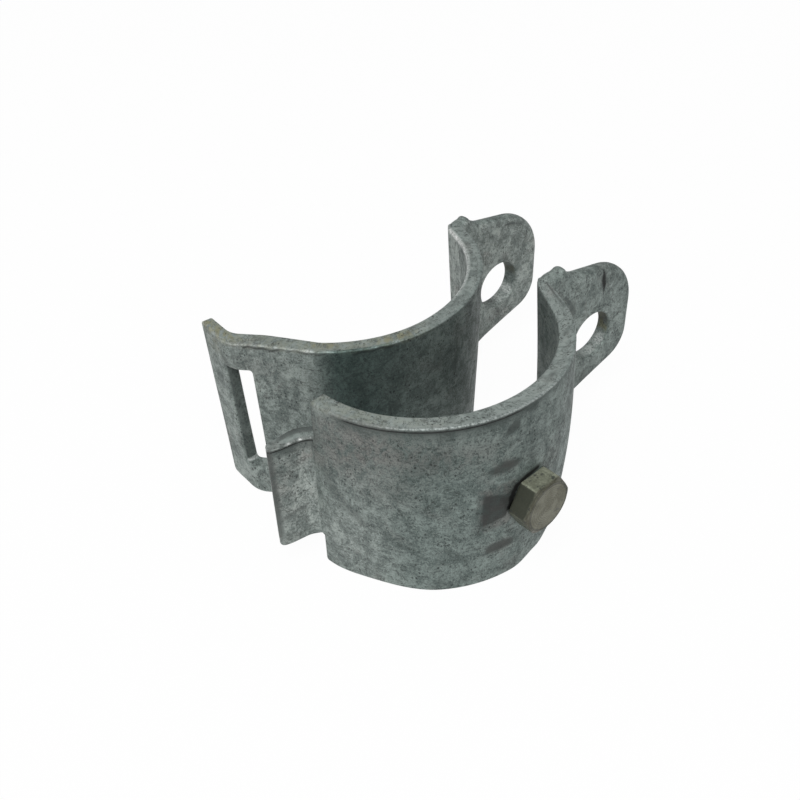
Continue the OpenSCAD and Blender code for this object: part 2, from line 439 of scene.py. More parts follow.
FRONT_SCRATCHES_AND_SHADOW = [
    (0.5, [(-11.3, 17.6), (-8.5, 18.6), (-6.2, 18.6)], 1.0),
    (0.35, [(3, 29.5), (6.5, 24), (10.5, 19)], 1.6),
    (0.25, [(2, 33), (3.5, 27), (6, 22)], 1.2),
    (0.95, [(115.7, 45.3), (115.5, 42.5), (116.2, 36.5)], 0.35),
    (0.6, [(101, 42), (103.5, 39), (104.5, 36)], 0.9),
    (0.5, [(108, 37.4), (109.4, 36.6)], 0.7),
    # Painted shadow in the gap along the screw head's upper left edge
    (1.0, [(41.0, 21.5), (41.3, 24.5), (42.5, 27.6), (45, 28.7), (48.2, 29.0)], 1.3),
]
FRONT_CREASE_DIRT = [(103.6, 38, 1.6, 2.0, 1), (104.6, 36, 1, 1.5, 1)]
FRONT_RIM_DIRT = [(55.5, 5.0, 1.5, 1.3, 1), (71, 6, 0.8, 2.2, 1), (66, 4, 0.7, 1.5, 0.8)]
FRONT_PLUM = [(8, 44, 10, 5, 0.9), (20, 42, 12, 6, 0.8), (33, 41, 9, 4, 0.5), (6, 36, 7, 5, 0.6),
              (-3, 34, 5, 2.5, 0.7), (18, 31, 7, 5, 0.5), (-12, 28, 3, 9, 0.5)]
FRONT_PLUM_STAIN = [(34, 30), (43, 30), (46, 26), (41, 17), (34, 17)]
FRONT_PLUM_SPOTS = [(39.5, 35, 4, 2, 1), (39, 10.6, 4, 2, 1)]
FRONT_HOLE_GLINTS = [(118.2, 20.2, 2.2, 1.5, 1), (115, 17.8, 3, 0.6, 0.5)]
TONGUE_GLINTS = [(-5.2, 39, 0.65, 1.2, 1), (-8.6, 39, 0.5, 1.2, 0.9), (-2, 39, 1.0, 1, 0.3)]
# Painted light: spots that lighten the tongue and the lower left through the shade layer
FRONT_PAINTED_LIGHT = [(-7, 22, 6, 13, 1.1), (6, 12, 7, 13, 0.5)]

REAR_RIM_LINES = [(0.9, [(-17.5, 49.2), (-9, 49.2)], 0.55), (0.6, [(-9, 49.3), (2, 49.4)], 0.35),
                  (0.8, [(8, 49.2), (17, 49.2)], 0.5)]
REAR_SCRATCHES = [
    (0.45, [(-21, 47.5), (-20.5, 44), (-18, 43)], 0.4),
    (0.45, [(5, 41), (7, 42.5), (9.5, 43)], 0.45),
    (0.4, [(5.5, 45.5), (7, 43.8), (8.5, 44.2)], 0.4),
    (0.4, [(10, 39.6), (13, 40.6)], 0.4),
    (0.75, [(95.8, 43.2), (97.5, 43.3), (99.3, 42.4)], 0.55),
    (0.5, [(99.3, 42.4), (102.5, 41.4), (105, 38.4)], 0.3),
    (0.5, [(99, 38.9), (99.8, 38.3)], 0.4),
]
REAR_SPECKS = [(-19.8, 46.2, 0.9, 0.9, 1), (-17.3, 45.3, 1.0, 0.7, 1), (-16, 46.8, 0.6, 0.6, 1),
               (-18.6, 44.0, 0.6, 0.7, 1)]
REAR_PLUM = [(-14, 43, 7, 4, 0.35), (12, 40, 8, 6, 0.3), (60, 20, 10, 10, 0.2)]
REAR_RIM_OLIVE = [(-29, 3, 5, 6, 0.9), (-22, 5, 6, 5, 0.8), (-1, 7, 2.5, 4, 0.95), (3, 6, 2, 4, 0.8),
                  (16, 4, 4, 5, 0.95), (21, 4, 3, 5, 0.7)]
REAR_HOLE_GLINTS = [(99.2, 20.2, 2.2, 1.2, 0.8), (96, 18, 3, 0.6, 0.5)]
REAR_RIM_GLINTS = [(-2, 50, 1.2, 1, 0.6), (3, 50, 1.4, 1, 0.7), (12.5, 50, 1.2, 1, 0.7),
                   (17.5, 50, 1.5, 1, 0.8)]


def line_distance(s, z, ends):
    """Distance from a broken line: to each stretch, from the nearest point between its two ends."""
    d = np.full(s.shape, 1e9)
    for (x0, y0), (x1, y1) in zip(ends[:-1], ends[1:]):
        t = np.clip(((s - x0) * (x1 - x0) + (z - y0) * (y1 - y0)) / ((x1 - x0) ** 2 + (y1 - y0) ** 2), 0, 1)
        d = np.minimum(d, np.hypot(s - x0 - t * (x1 - x0), z - y0 - t * (y1 - y0)))
    return d


def patch(s, z, corners, soft):
    """1 inside a polygon of the pattern and 0 outside it, with a soft edge: the signed distance, eased."""
    corners = [*corners, corners[0]]
    inside = np.zeros(s.shape, bool)
    for (x0, y0), (x1, y1) in zip(corners[:-1], corners[1:]):
        inside ^= ((y0 > z) != (y1 > z)) & (s < x0 + (z - y0) * (x1 - x0) / (y1 - y0 + 1e-12))
    d = line_distance(s, z, corners)
    return smooth(np.where(inside, -d, d), soft, -soft)


def scratch(s, z, points, width):
    """1 on a broken line of the pattern, falling to 0 at the width from it."""
    return smooth(line_distance(s, z, points), width, width * 0.35)


def strongest(mark, s, z, table):
    """Largest of the marks of a table of (strength, points, softness or width)."""
    return np.maximum.reduce([strength * mark(s, z, points, size) for strength, points, size in table])


def cloud(s, z, spots):
    """Sum of soft round spots, at most 1."""
    total = np.zeros(s.shape)
    for cs, cz, rs, rz, strength in spots:
        total += strength * np.exp(-(((s - cs) / rs) ** 2 + ((z - cz) / rz) ** 2))
    return np.minimum(total, 1)


def shared_masks(s, z, w, lug_s, hole_s, hole_r):
    """Masks that both bars use: the near face, the wall between the faces, the lug, the top of the rim
    short of the lug, and the bolt hole's wall within a radius."""
    near = smooth(w, 0.2, 0.11)
    edge = smooth(w, 0.06, 0.14) * smooth(w, 0.97, 0.9)
    lug = smooth(s, lug_s, lug_s + 3)
    top = smooth(z, BAR_W - 1.5, BAR_W - 0.4) * (1 - lug)
    hole = smooth(np.hypot(s - hole_s, z - HOLE_Z), *hole_r) * (1 - near)
    return near, edge, lug, top, hole


def tongue_half_layers(coords):
    """Layers of the front half at (s, z, w): dirt with painted shadows, plum and olive tints, sheared rim
    with painted light on its top, painted glints, and the painted shade that darkens the middle and paints
    light, where negative, on the tongue and the lower left."""
    s, z, w = coords.T
    near, edge, lug, top, hole = shared_masks(s, z, w, 93, FRONT_HOLE, (7.8, 7.2))
    top = top * (s > 0)
    tongue_top = smooth(z, TONGUE_HIGH - 0.9, TONGUE_HIGH - 0.3) * (s < 0.5)
    tongue = smooth(-s, -0.3, 0.6)
    depth = np.where(s < 0, TONGUE_HIGH, BAR_W) - z
    along = smooth(s, 3, 9) * smooth(s, 80, 60)

    dirt = near * np.maximum.reduce([
        strongest(patch, s, z, FRONT_STAINS_AND_SHADOW),
        strongest(scratch, s, z, FRONT_SCRATCHES_AND_SHADOW),
        0.6 * cloud(s, z, FRONT_CREASE_DIRT),
        # Painted shadow: a dark line under the burr along the tongue's upper edge
        tongue * bell(depth, 1.0, 0.5),
        0.45 * tongue * smooth(depth, 3.4, 2.6) * smooth(s, -14, -9),
        # Painted shadow: a dark line and a fading band under the burr along the saddle's rim
        along * bell(depth, 1.0, 0.7) * smooth(s, 64, 40),
        0.55 * along * smooth(depth, 5.0, 1.0) * smooth(s, 60, 42),
        0.7 * smooth(-s, 11.4, 12.3) * smooth(z, 9, 14),
        0.35 * bell(s, 0.3, 0.7) * smooth(z, 34, 40),
        # Darker towards the lug's lower edge
        0.35 * smooth(s, 90, 96) * smooth(z, 20, 8)])
    on_rim = np.maximum.reduce([
        0.8 * scratch(s, 10 * w, [(78, 1.6), (92.5, 2.4)], 0.9),
        0.45 * bell(w, 0.42, 0.05) * smooth(s, 20, 28) * smooth(s, 84, 78),
        0.7 * cloud(s, 10 * w, FRONT_RIM_DIRT)])
    dirt = np.maximum.reduce([
        dirt,
        top * (1 - near) * on_rim,
        # Painted shadow on the far half of the tongue's top, beside the rear plate
        0.75 * tongue_top * smooth(w, 0.45, 0.65),
        # The bolt hole's wall darker towards its top
        0.7 * hole * smooth(z, 22.5, 26)])

    stained = patch(s, z, FRONT_PLUM_STAIN, 1) + cloud(s, z, FRONT_PLUM_SPOTS)
    plum = np.minimum(near * cloud(s, z, FRONT_PLUM) + near * stained, 1)
    olive = np.maximum(hole * smooth(z, 21.5, 23.5), 0.25 * top * smooth(s, 40, 10))
    # Painted glints: bright lines along the rim's and the tongue's near edges, and spots in the bolt hole
    bare = np.maximum.reduce([
        hole * cloud(s, z, FRONT_HOLE_GLINTS),
        0.65 * along * bell(depth, 0.2, 0.35) * near * smooth(s, 62, 48) * smooth(s, 8, 24),
        0.2 * along * bell(depth, 0.25, 0.5) * near,
        0.9 * smooth(w, 0.16, 0.04) * (depth < 0.9) * cloud(s, z, TONGUE_GLINTS),
        0.12 * smooth(w, 0.25, 0.04) * (depth < 0.9) * (s < -0.5)])
    # The rim's lighter zinc on the sheared walls, and painted light on the rim's top
    rim = np.maximum.reduce([0.95 * edge * (1 - lug), 0.7 * top, 0.8 * tongue_top * edge])
    # Painted shade on the saddle's middle, and painted light on the tongue and the lower left where negative
    shade = near * (0.36 * smooth(s, 12, 22) * smooth(s, 78, 66) + cloud(s, z, [(25, 37, 9, 9, 0.2)])
                    + 0.02 * lug - cloud(s, z, FRONT_PAINTED_LIGHT))
    return {"dirt": dirt, "plum": plum, "olive": olive, "rim": rim, "bare": bare, "shade": shade}


def slotted_half_layers(coords):
    """Layers of the rear half at (s, z, w): dirt, plum and olive tints, sheared rim with painted light on its
    top, painted glints, and the painted shade that darkens the saddle's inside, where the front half shades
    it, and paints light, where negative, on the plate, lug and far face."""
    s, z, w = coords.T
    near, edge, lug, top, hole = shared_masks(s, z, w, 77, REAR_HOLE, (8.6, 7.6))
    slot = (s > -26) * (s < -14) * (z > 7) * (z < 44) * (1 - near) * edge
    wiggle = 0.25 * np.sin(s * 1.7) + 0.2 * np.sin(s * 0.61 + 2)

    dirt = near * np.maximum.reduce([
        strongest(scratch, s, z + wiggle, REAR_RIM_LINES),
        strongest(scratch, s, z, REAR_SCRATCHES),
        0.6 * cloud(s, z, REAR_SPECKS),
        # Darker towards the lug's lower edge
        0.3 * smooth(s, 76, 79) * smooth(z, 20, 8)])
    dirt = np.maximum.reduce([
        dirt,
        # The slot's left wall darker
        0.55 * slot * smooth(s, -21, -23.5),
        0.4 * scratch(s, 10 * w, [(20, 4.5), (50, 7.5), (62, 6)], 0.5) * top * (1 - near),
        # The bolt hole's wall darker towards its top
        0.6 * hole * smooth(z, 23, 27)])

    plum = near * cloud(s, z, REAR_PLUM)
    olive = np.maximum.reduce([
        top * np.maximum(0.3, cloud(s, 10 * w, REAR_RIM_OLIVE)) * smooth(s, 30, 22),
        0.45 * near * cloud(s, z, [(-27, 47, 3, 3, 1)]),
        0.5 * hole * smooth(z, 24, 27)])
    # Painted glints: bolt hole, lit rim top by the bend, the rim's near edge and the slot's corner
    bare = np.maximum.reduce([
        hole * cloud(s, z, REAR_HOLE_GLINTS),
        0.8 * smooth(w, 0.8, 0.93) * top * smooth(s, 36, 42) * smooth(s, 78, 74),
        0.85 * near * smooth(z, 49.2, 49.8) * cloud(s, z, REAR_RIM_GLINTS),
        0.1 * near * smooth(z, 49.3, 49.9),
        0.85 * (1 - near) * smooth(np.hypot(s + 24.1 - 2.6 * w, z - 9.3), 0.8, 0.3)])
    # The rim's lighter zinc on the sheared walls, and painted light on the rim's top and the slot's upward
    # floor
    rim = np.maximum(0.8 * edge * (1 - lug), 0.55 * top)
    rim = np.where(slot > 0.1, 0.35 * (z < 12), rim)
    # Painted shade on the saddle where the front half shades it; painted light on the lug, the plate and the
    # far face by the bend
    far = smooth(w, 0.8, 1) * smooth(s, 60, 70) * (1 - lug)
    shade = near * (smooth(s, -2.5, 5) * smooth(s, 74, 66) * (0.97 - 0.7 * smooth(s, 8, 28))
                    - 0.65 * lug - 0.2 * smooth(s, 2, -4)) - 0.7 * far
    return {"dirt": dirt, "plum": plum, "olive": olive, "rim": rim, "bare": bare, "shade": shade}


# The pieces


def tongue_half_shape(step, arris_r, lug_arris_r):
    """Front half: saddle from the tongue's root to the lug, the tongue beyond it at lower stations."""
    start, inner_r, lug_near, lug_far, lug_end = 185.5, 31.0, -6.1, -1.8, 70.0
    near = saddle_curve(np.zeros(2), FRONT_OUTER_R, start, 338.0, lug_near, 1.0)
    far = saddle_curve(np.zeros(2), inner_r, start, 332.0, lug_far, 7.5)

    # The tongue's middle line, from its root outwards: its left side is the near face
    middle_r = (FRONT_OUTER_R + inner_r) / 2
    root = (*(middle_r * unit(start)), start - 90)
    strokes = [(0.3,), (2.6, 55), (1.3,), (7.0, 22), (3.5,), (6.0, -20), (0.6,)]
    half = BAR_T / 2
    near = with_lug(parallel_curve(root, strokes, half), near, lug_near, lug_end)
    far = with_lug(parallel_curve(root, strokes, -half), far, lug_far, lug_end)
    tongue_knots = -np.cumsum([stroke_length(stroke) for stroke in strokes])[::-1]
    knots = np.array([*tongue_knots, 0, FRONT_SADDLE, FRONT_SADDLE + 9.0, FRONT_SADDLE + 14.0, FRONT_LUG,
                      FRONT_LUG + lug_end - ROOT_X])
    # Station, and how far the lower edge stands aside there in x and y, in proportion and to the fourth power
    lean = [(-20, 0, 0, 0, 0), (2, 0, 0, 0, 0), (12, 0.6, 0.4, 0, 0), (26, 0.1, -0.75, 0, 0),
            (42, 0, -0.6, 0, 0.1), (50, 0.1, -0.4, 0, 0.95), (57, 0.6, -0.4, -0.9, 1.5),
            (68, 1.2, -0.9, -3.3, 2.7), (76, 1.8, -1.3, -2.5, 1.5), (92, 3.2, -1.0, -2.5, 0),
            (110, 0.2, 0, 0, 0)]
    bar = Bar(knots, near, far, FRONT_CENTRE, lean)

    fillet, nose_r, root_r = 0.8, 1.2, 0.8
    bands = [graded(0, TONGUE_LOW - fillet, step), graded(TONGUE_LOW - fillet, TONGUE_HIGH + fillet, step),
             graded(TONGUE_HIGH + fillet, BAR_W, step)]
    rows = np.concatenate([bands[0], bands[1][1:], bands[2][1:]]) / BAR_W
    columns = np.concatenate([graded(0, FRONT_LUG, step, high=False),
                              graded(FRONT_LUG, FRONT_HOLE - 10.5, step, low=False, high=False)[1:]])
    low, high, head = lug_blocks(columns, rows, FRONT_HOLE, -0.45)
    root_round = drop(columns, root_r)
    saddle_block = sheet(columns, low + root_round, high - root_round, rows)
    tip = knots[0]
    tongue_columns = graded(tip, 0, step)
    narrowing = drop(tongue_columns - tip, nose_r) - drop(-tongue_columns, fillet)
    inner_rows = (bands[1] - bands[1][0]) / (bands[1][-1] - bands[1][0])
    tongue_block = sheet(tongue_columns, TONGUE_LOW + narrowing, TONGUE_HIGH - narrowing, inner_rows)
    # The tongue's last column is the middle band of the saddle's first one
    tongue_block[-1] = saddle_block[0, len(bands[0]) - 1:len(bands[0]) + len(bands[1]) - 1]

    def waves(s, z):
        """Unevenness of both faces: a long wave along the bar and a short slanting one."""
        return 0.05 * np.sin(s / 9.0 + 1) * np.sin(z / 14 + s / 31) + 0.03 * np.sin(s / 3.7 + z / 6.1)

    def slant(s, z):
        """The tongue's upper edge falls away to the rear near its end."""
        return 0 * s, -1.1 * smooth(-s, 5, 13) * smooth(z, 30, TONGUE_HIGH)

    def burr(s, z):
        """Burr with a groove below it along the tongue's upper edge, and a finer one along the rim."""
        depth = np.where(s < 0, TONGUE_HIGH, BAR_W) - z
        size = np.where(s < 0, smooth(-s, -0.5, 1), 0.6 * smooth(s, 3, 10) * smooth(s, 78, 60))
        size = size * (0.8 + 0.2 * np.sin(s * 2.3) * np.sin(s * 0.9 + 1))
        reach = np.where(s < 0, 0.65, 0.55)
        return size * (0.3 * bell(depth, 0, 0.7 * reach, 4) - 0.35 * bell(depth, 1.25 * reach, 0.4))

    return skin(bar, [saddle_block, tongue_block, head], FRONT_SADDLE + 11.0, FRONT_HOLE,
                (arris_r, lug_arris_r), waves, slant, burr)


def slotted_half_shape(step, arris_r, lug_arris_r):
    """Rear half: slotted plate with its lip at low stations, saddle, bend and lug."""
    centre = np.array([0.2, 1.0])
    lug_near, lug_far, lug_end = -6.0, -1.7, 67.0
    near_r, near_start, far_r, far_start = 36.2, 224.6, 32.4, 226.3
    near = saddle_curve(centre, near_r, near_start, 344.0, lug_near, 2.0)
    far = saddle_curve(centre, far_r, far_start, 343.0, lug_far, 5.5)
    near_plate = plan_curve((*(centre + near_r * unit(near_start)), near_start - 90),
                            [(6.0, -7.15), (13.2,), (12.0, 6.3), (2.9,), (7.1, -48.2), (8.75,)])
    far_plate = plan_curve((*(centre + far_r * unit(far_start)), far_start - 90),
                           [(6.0, -11.4), (11.8,), (12.0, 7.3), (5.5,), (5.2, -42.5), (6.7,)])
    near = with_lug(near_plate, near, lug_near, lug_end)
    far = with_lug(far_plate, far, lug_far, lug_end)
    plate_knots = -np.cumsum([1.0, 12.5, 1.4, 4.2, 4.9, 7.7])[::-1]
    knots = np.array([*plate_knots, 0, REAR_SADDLE, REAR_SADDLE + 4.5, REAR_SADDLE + 9.0, REAR_LUG,
                      REAR_LUG + lug_end - ROOT_X])
    # Station, and how far the lower edge stands aside there in x and y, in proportion and to the fourth power
    lean = [(knots[0], 2.2, 0.5, 0, 0), (-22, 2.7, 1.0, 0, 0), (-14, 2.0, 1.8, 0, 0), (4, 1.3, 1.4, 0, 0),
            (35, 0, 0.3, 0, 0), (56, -1.0, 0.8, -0.6, 0.4), (77, 1.2, -1.2, 0, 0), (90, 0.2, 0, 0, 0),
            (120, 0, 0, 0, 0)]
    bar = Bar(knots, near, far, (0, 0), lean)

    # The plate is a ring between its outline and the slot's; both run anticlockwise from the lower right
    # corner and have equal counts of points on each side
    slot_low, slot_high, slot_left, slot_right, slot_r = 9.0, 42.0, -24.1, -16.1, 1.0
    left_s, right_s, corner_r = knots[0], -9.4, 1.2
    across, corner_count = 30, 9
    rows = graded(0, BAR_W, step) / BAR_W
    t = np.linspace(0, 1, across)
    right = np.stack([np.full(len(rows), right_s), rows * BAR_W], -1)
    top = np.stack([right_s + (left_s + corner_r - right_s) * t, np.full(across, BAR_W)], -1)
    down = BAR_W - corner_r - (BAR_W - 2 * corner_r) * rows
    left = np.stack([np.full(len(rows), left_s), down], -1)
    bottom = np.stack([left_s + corner_r + (right_s - left_s - corner_r) * t, np.zeros(across)], -1)
    upper_corner = arc(np.array([left_s + corner_r, BAR_W - corner_r]), corner_r, 90, 180, corner_count)
    lower_corner = arc(np.array([left_s + corner_r, corner_r]), corner_r, 180, 270, corner_count)
    outer = np.concatenate([right, top[1:], upper_corner[1:-1], left, lower_corner[1:-1], bottom[:-1]])
    arcs = [arc(np.array([x, z]), slot_r, a, a + 90, 13) for x, z, a in (
        (slot_right - slot_r, slot_high - slot_r, 0), (slot_left + slot_r, slot_high - slot_r, 90),
        (slot_left + slot_r, slot_low + slot_r, 180), (slot_right - slot_r, slot_low + slot_r, 270))]
    counts = (len(rows), across, len(rows) + 2 * (corner_count - 1), across)
    sides = [even_points(np.concatenate([arcs[k - 1][6:], arcs[k][:7]]), count)
             for k, count in enumerate(counts)]
    inner = np.concatenate([sides[0], sides[1][1:], sides[2][1:], sides[3][1:-1]])
    gap = 8.0
    plate_block = ring(outer, inner, graded(0, gap, RING_STEP) / gap)
    columns = np.concatenate([graded(right_s, REAR_LUG, step, low=False, high=False),
                              graded(REAR_LUG, REAR_HOLE - 10.0, step, low=False, high=False)[1:]])
    low, high, head = lug_blocks(columns, rows, REAR_HOLE, 0.0)
    saddle_block = sheet(columns, low, high, rows)

    def waves(s, z):
        """Unevenness of both faces: a long wave along the bar and a short slanting one."""
        return 0.05 * np.sin(s / 8.0) * np.sin(z / 13 + s / 29) + 0.03 * np.sin(s / 3.3 + z / 5.7 + 2)

    def slant(s, z):
        """The slot's left side and the bolt hole run askew through the bar."""
        hole = smooth(np.hypot(s - REAR_HOLE, z - HOLE_Z), HOLE_R + 4, HOLE_R)
        return 2.6 * bell(s, slot_left, 4) - 1.0 * hole, 0 * s

    def burr(s, z):
        """Fine burr along the rim's near edge."""
        size = 0.12 * smooth(s, -24, -20) * smooth(s, 70, 60) * (1 + 0.5 * np.sin(s * 1.9) * np.sin(s * 0.7))
        return size * bell(z, BAR_W, 0.6, 4)

    return skin(bar, [plate_block, saddle_block, head], REAR_SADDLE + 6.0, REAR_HOLE,
                (arris_r, lug_arris_r), waves, slant, burr)


def set_screw_shape():
    """Hexagon head, a neck of thread and a chamfered end, as radii over the angle and a profile coordinate.
    The head's radius at an angle is that of a hexagon with its corners taken off a little; its top falls
    away at thirty degrees past a radius. The thread's radius is a clipped triangle wave of the height and
    the angle."""
    count, arris = 180, 0.2
    theta = np.arange(count) * 2 * np.pi / count
    folded = (theta + np.pi / 6) % (np.pi / 3) - np.pi / 6
    hexagon = SCREW_AF / 2 / np.cos(folded) - 0.16 * bell(np.abs(folded), np.pi / 6, 0.035)

    def crown(r):
        """Height of the top at a radius: level inside, then falling at thirty degrees, with turning rings."""
        over = np.maximum(r - 0.96 * SCREW_AF / 2, 0)
        return HEAD_H - over * math.tan(math.radians(30)) + 0.02 * np.sin(r * 9.0)

    def level(r, h):
        """One ring of the profile: a radius and a height, each a number or one for every angle."""
        return np.stack(np.broadcast_arrays(r, h, theta)[:2], -1)

    edge = crown(hexagon)
    rings = [level(hexagon * part, crown(hexagon * part))
             for part in np.concatenate([np.linspace(0.02, 0.9, 40), np.linspace(0.91, 0.985, 8)])]
    rings += [level(hexagon - arris + arris * np.sin(a), edge - arris + arris * np.cos(a))
              for a in np.radians(np.linspace(10, 80, 5))]
    rings += [level(hexagon, (edge - arris) * (1 - part) + arris * part)
              for part in np.linspace(0.08, 0.92, 12)]
    rings += [level(hexagon - arris + arris * np.cos(a), arris - arris * np.sin(a))
              for a in np.radians(np.linspace(20, 90, 4))]
    rings += [level(5.5, 0), level(SHANK_R - 0.05, 0)]
    depth = 0.61 * PITCH
    for h in np.linspace(0.1, SHANK_L - 0.05, 140):
        tooth = 1 - np.abs(2 * ((h / PITCH + theta / (2 * np.pi)) % 1) - 1)
        r = SHANK_R - depth * np.clip(1.15 - 1.3 * tooth, 0, 1)
        rings.append(level(np.minimum(r, SHANK_R - 1.0 + (SHANK_L - h)), -h))
    rings += [level(r, -SHANK_L) for r in (2.4, 1.2, 0.1)]
    grid = np.array(rings)
    x, y, h = grid[..., 0] * np.cos(theta), grid[..., 0] * np.sin(theta), grid[..., 1]
    local = np.stack([x, y, h], -1).reshape(-1, 3)
    total = len(local)
    index = np.arange(total).reshape(-1, count)
    after = np.roll(index, -1, axis=1)
    faces = np.stack([index[:-1], index[1:], after[1:], after[:-1]], -1).reshape(-1, 4)
    poles = np.array([[0, 0, HEAD_H], [0, 0, -SHANK_L]])
    top = np.stack([np.full(count, total), index[0], after[0]], -1)
    tip = np.stack([np.full(count, total + 1), after[-1], index[-1]], -1)
    return np.concatenate([local, poles]), faces, np.concatenate([top, tip])


def screw_layers(local):
    """Layers of the screw by the radius, the height and the angle on its own axes: turned rings, face, a
    groove line and chamfer in painted shade, and painted shade that darkens some flats more than others."""
    r, h, angle = np.hypot(local[:, 0], local[:, 1]), local[:, 2], np.arctan2(local[:, 1], local[:, 0])
    top = smooth(h, 4.4, 4.7)
    # Painted shade: how dark each flat is painted
    flat_shades = np.array([0.0, 0.95, 0.6, 0.5, 0.8, 0.2])[np.round(angle / (np.pi / 3)).astype(int) % 6]
    return {
        "turned": top * (0.5 + 0.5 * np.sin(r * 11 + 0.4 * np.sin(2 * angle))),
        "face": 0.6 * top,
        # Painted shade on the head's chamfer, and a dark groove line
        "groove": top * np.maximum(0.5 * smooth(r, 6.25, 6.5), bell(r, 6.15, 0.17)),
        "painted_flat_shade": (1 - top) * flat_shades,
    }


def place_screw(local):
    """Turns the screw's own axes onto its bearing and moves it to the saddle's outer face. Its first axis
    points up, its second along the saddle and its third outwards."""
    out = np.array([*unit(SCREW_BEARING), 0])
    up = np.array([0, 0, 1.0])
    origin = np.array([*FRONT_CENTRE, SCREW_Z]) + FRONT_OUTER_R * out
    return origin + local[:, :1] * up + local[:, 1:2] * np.cross(out, up) + local[:, 2:] * out


# Materials


class Nodes:
    """Short hand for building the nodes of a material or of the world."""

    def __init__(self, owner):
        self.owner = owner
        owner.use_nodes = True
        self.tree = owner.node_tree
        self.tree.nodes.clear()

    def add(self, kind, inputs=(), **settings):
        """New node of a kind. Its inputs, by name or number, are joined to outputs or set to constants."""
        node = self.tree.nodes.new(kind)
        for key, value in settings.items():
            setattr(node, key, value)
        for key, value in dict(inputs).items():
            if hasattr(value, "links"):
                self.tree.links.new(value, node.inputs[key])
            else:
                node.inputs[key].default_value = value
        return node

    def math(self, operation, *values):
        """A math node of one operation."""
        return self.add("ShaderNodeMath", enumerate(values), operation=operation).outputs[0]

    def plus(self, a, b):
        """Sum of two values."""
        return self.math("ADD", a, b)

    def times(self, a, b):
        """Product of two values."""
        return self.math("MULTIPLY", a, b)

    def most(self, a, b):
        """Larger of two values."""
        return self.math("MAXIMUM", a, b)

    def mean(self, *shares):
        """Mean of values by their weights; each share is (weight, value)."""
        total = self.times(shares[0][1], shares[0][0])
        for weight, value in shares[1:]:
            total = self.plus(total, self.times(value, weight))
        return self.times(total, 1 / sum(weight for weight, _ in shares))

    def layer(self, name, kind="Fac"):
        """An attribute of the mesh."""
        return self.add("ShaderNodeAttribute", attribute_name=name).outputs[kind]

    def noise(self, vector, scale, detail=4.0, rough=0.55, distortion=0.0):
        """Fractal noise about 0.5."""
        inputs = {"Vector": vector, "Scale": scale, "Detail": detail, "Roughness": rough,
                  "Distortion": distortion}
        return self.add("ShaderNodeTexNoise", inputs).outputs["Fac"]

    def ramp(self, value, low, high, to=(0.0, 1.0)):
        """Smooth step of a value between two limits, to a range; the first limit may be the greater."""
        if low > high:
            low, high, to = high, low, to[::-1]
        inputs = {"Value": value, "From Min": low, "From Max": high, "To Min": to[0], "To Max": to[1]}
        return self.add("ShaderNodeMapRange", inputs, interpolation_type="SMOOTHSTEP").outputs["Result"]

    def mapped(self, vector, **inputs):
        """A vector scaled, turned and moved."""
        return self.add("ShaderNodeMapping", {"Vector": vector, **inputs}).outputs[0]

    def mix(self, factor, a, b, blend="MIX"):
        """Colour a, and b by the factor; a constant colour has no alpha."""
        a, b = (colour if hasattr(colour, "links") else (*colour, 1) for colour in (a, b))
        node = self.add("ShaderNodeMix", {0: factor, 6: a, 7: b}, data_type="RGBA", blend_type=blend)
        return node.outputs[2]

    def surface(self, shader):
        """Gives the material its shader and returns it."""
        self.add("ShaderNodeOutputMaterial", {"Surface": shader})
        return self.owner

    def metal(self, colour, metallic, roughness, height, strength, distance):
        """Gives the material a principled shader with a bump of the height and returns it."""
        bump = self.add("ShaderNodeBump", {"Strength": strength, "Distance": distance, "Height": height})
        inputs = {"Base Color": colour, "Metallic": metallic, "Roughness": roughness,
                  "Normal": bump.outputs[0]}
        return self.surface(self.add("ShaderNodeBsdfPrincipled", inputs).outputs[0])


